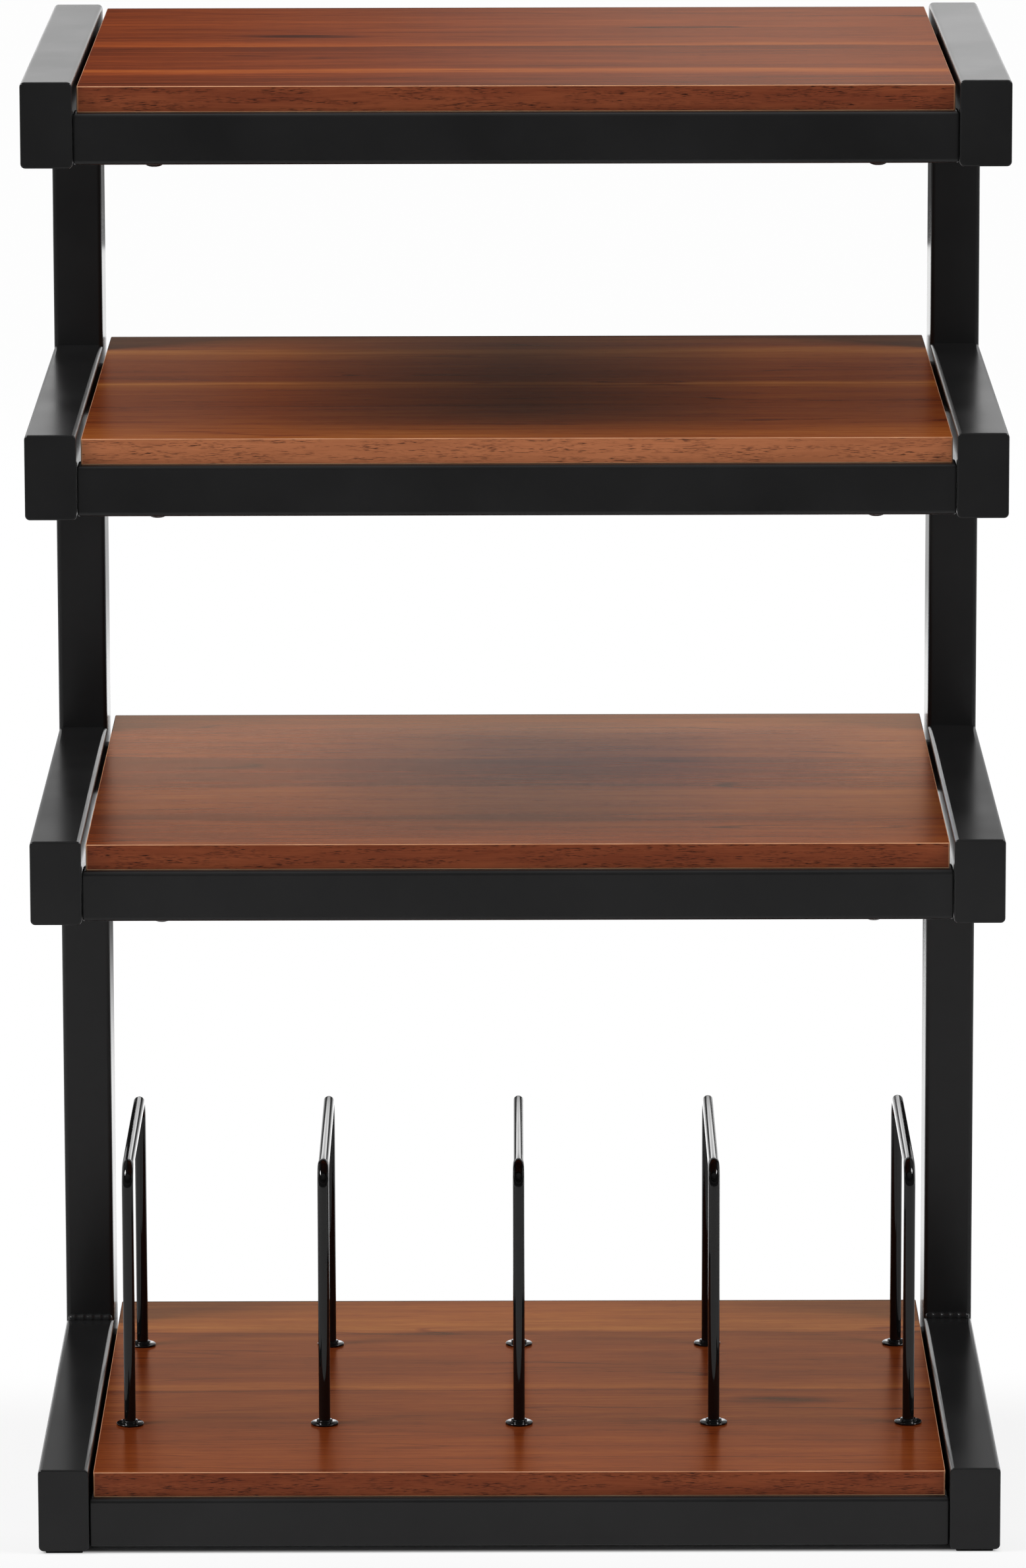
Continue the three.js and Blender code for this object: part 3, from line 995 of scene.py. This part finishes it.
def studioFloor():
    material, tree = newTree("studioFloor")
    coords = objectCoords(tree)
    x, y, _ = axesOf(tree, coords)
    away = addNode(tree, "ShaderNodeVectorMath", operation="LENGTH")
    tree.links.new(coords, away.inputs[0])
    outward = remap(tree, away.outputs["Value"], *floor["fadeOut"], smooth=True)
    far = calc(tree, "MAXIMUM", outward, remap(tree, y, *floor["fadeBehind"], smooth=True))
    paper = matt(tree, floor["paper"])
    shaded = addNode(tree, "ShaderNodeAddShader")
    tree.links.new(matt(tree, floor["shade"]).outputs[0], shaded.inputs[0])
    # painted shade: the camera sees the floor a little darker in front of the rack
    glow = emission(tree, remap(tree, y, *floor["frontTurn"], floor["glowInFront"], floor["glow"]))
    tree.links.new(glow.outputs[0], shaded.inputs[1])
    # right under the rack the floor is seen as plain paper, so the gap below it stays dark
    beyond = [
        calc(tree, "SUBTRACT", calc(tree, "ABSOLUTE", place), edge)
        for place, edge in zip((x, y), floor["footprint"])
    ]
    outside = remap(tree, calc(tree, "MAXIMUM", *beyond), *floor["footprintEdge"], smooth=True)
    seen = mixShaders(tree, far, mixShaders(tree, outside, paper, shaded), emission(tree))
    # reflections find it white behind the rack
    back = remap(tree, y, *floor["mirrorTurn"], smooth=True)
    mirrored = mixShaders(tree, back, paper, emission(tree, world["behind"]))
    path = addNode(tree, "ShaderNodeLightPath").outputs
    unseen = mixShaders(tree, path["Is Glossy Ray"], paper, mirrored)
    show(tree, mixShaders(tree, path["Is Camera Ray"], unseen, seen))
    bm = bmesh.new()
    bmesh.ops.create_circle(bm, cap_ends=True, radius=floor["radius"], segments=floor["segments"])
    placeMesh("studioFloor", bm, [material])


# Soft cards that only reflections see. They stand behind the rack and keep it from mirroring all the
# white there. The cover runs from the left edge (0) to the right (1), widens by spread per metre of
# height, and fades over the soft stretches at the lower and the upper edge. All are black but the one
# with a tint, which glows and puts a painted bluish reflection on the lower board.
cards = {
    "top": {
        "place": 0.42, "reach": 0.6, "height": (0.88, 1.08), "soft": (0.01, 0.06), "spread": 0.0,
        "cover": [(0.0, 0.27), (0.25, 0.27), (0.75, 0.18), (1.0, 0.18)],
    },
    "upper": {
        "place": 0.42, "reach": 0.335, "height": (0.692, 0.87), "soft": (0.004, 0.05), "spread": 1.23,
        "cover": [
            (0.0, 0.42), (0.1, 0.42), (0.115, 0.78), (0.18, 0.82), (0.29, 0.96), (0.7, 0.96),
            (0.8, 0.94), (0.885, 0.88), (0.9, 0.42),
        ],
    },
    "lower": {
        "place": 0.21, "reach": 0.26, "height": (0.44, 0.62), "soft": (0.08, 0.03), "spread": 0.95,
        "cover": [(0.0, 0.0), (0.02, 0.0), (0.03, 0.5), (0.97, 0.5), (0.98, 0.0)],
    },
    "bars": {
        "place": 0.42, "reach": 0.27, "height": (0.13, 0.3), "soft": (0.14, 0.03), "spread": 0.0,
        "cover": [(0.0, 0.0), (0.03, 0.95), (0.97, 0.95), (1.0, 0.0)],
    },
    "cool": {
        "place": 0.207, "reach": 0.24, "height": (0.436, 0.492), "soft": (0.012, 0.03), "spread": 0.0,
        "cover": [
            (0.0, 0.0), (0.14, 0.08), (0.34, 0.42), (0.52, 0.62), (0.7, 0.7), (0.85, 0.42), (1.0, 0.0),
        ],
        "tint": (0.42, 0.66, 1.0),
    },
    "side": {
        "place": 0.42, "reach": 0.8, "height": (0.01, 0.72), "soft": (0.05, 0.03), "spread": 0.0,
        "cover": [(0.0, 0.68), (0.328, 0.68), (0.336, 0.0), (0.664, 0.0), (0.672, 0.68)],
    },
}
tintStrength = 1.3


def cardLook(name, card):
    material, tree = newTree(name)
    x, _, z = axesOf(tree, objectCoords(tree))
    bottom, top = card["height"]
    softLow, softHigh = card["soft"]
    widening = calc(tree, "MULTIPLY_ADD", calc(tree, "SUBTRACT", z, bottom), card["spread"], 1.0)
    across = remap(tree, calc(tree, "DIVIDE", x, widening), -card["reach"], card["reach"])
    cover = ramp(tree, across, card["cover"], smooth=True)
    cover = calc(tree, "MULTIPLY", cover, remap(tree, z, bottom, bottom + softLow, smooth=True))
    cover = calc(tree, "MULTIPLY", cover, remap(tree, z, top, top - softHigh, smooth=True))
    tint = emission(tree, tintStrength, card.get("tint", (0, 0, 0)))
    show(tree, mixShaders(tree, cover, addNode(tree, "ShaderNodeBsdfTransparent"), tint))
    return material


def reflectedCard(kind):
    card = cards[kind]
    bottom, top = card["height"]
    width = 2 * card["reach"] * (1 + card["spread"] * (top - bottom))
    bm = bmesh.new()
    bmesh.ops.create_grid(bm, x_segments=1, y_segments=1, size=0.5)
    upright = Matrix.Rotation(math.pi / 2, 3, "X")
    bmesh.ops.rotate(bm, cent=(0, 0, 0), matrix=upright, verts=bm.verts)
    bmesh.ops.scale(bm, vec=(width, 1, top - bottom), verts=bm.verts)
    bmesh.ops.translate(bm, vec=(0, card["place"], (top + bottom) / 2), verts=bm.verts)
    name = pieceName("darkCard", kind)
    holder = placeMesh(name, bm, [cardLook(name, card)])
    holder.visible_camera = False
    holder.visible_diffuse = False
    holder.visible_shadow = False
    holder.visible_transmission = False


# The lamps stand high enough for each shelf to shade the one below
lamps = {
    "left": {"place": (-2.4, -0.6, 2.55), "size": 1.0, "watts": 85},
    "right": {"place": (2.4, -0.6, 2.55), "size": 1.0, "watts": 67},
    "overhead": {"place": (0.0, -0.2, 3.6), "size": 1.8, "watts": 8},
}
lampAim = Vector((0, 0, 0.45))


def studioLamps():
    for name, lamp in lamps.items():
        data = bpy.data.lights.new(name, "AREA")
        data.shape = "SQUARE"
        data.size = lamp["size"]
        data.energy = lamp["watts"]
        holder = bpy.data.objects.new(name, data)
        bpy.context.scene.collection.objects.link(holder)
        place = Vector(lamp["place"])
        turn = (lampAim - place).to_track_quat("-Z", "Y").to_matrix().to_4x4()
        holder.matrix_world = Matrix.Translation(place) @ turn


studioWorld()
studioFloor()
studioLamps()
for kind in cards:
    reflectedCard(kind)
bpy.context.scene.view_settings.view_transform = "Standard"
print("studio lit")
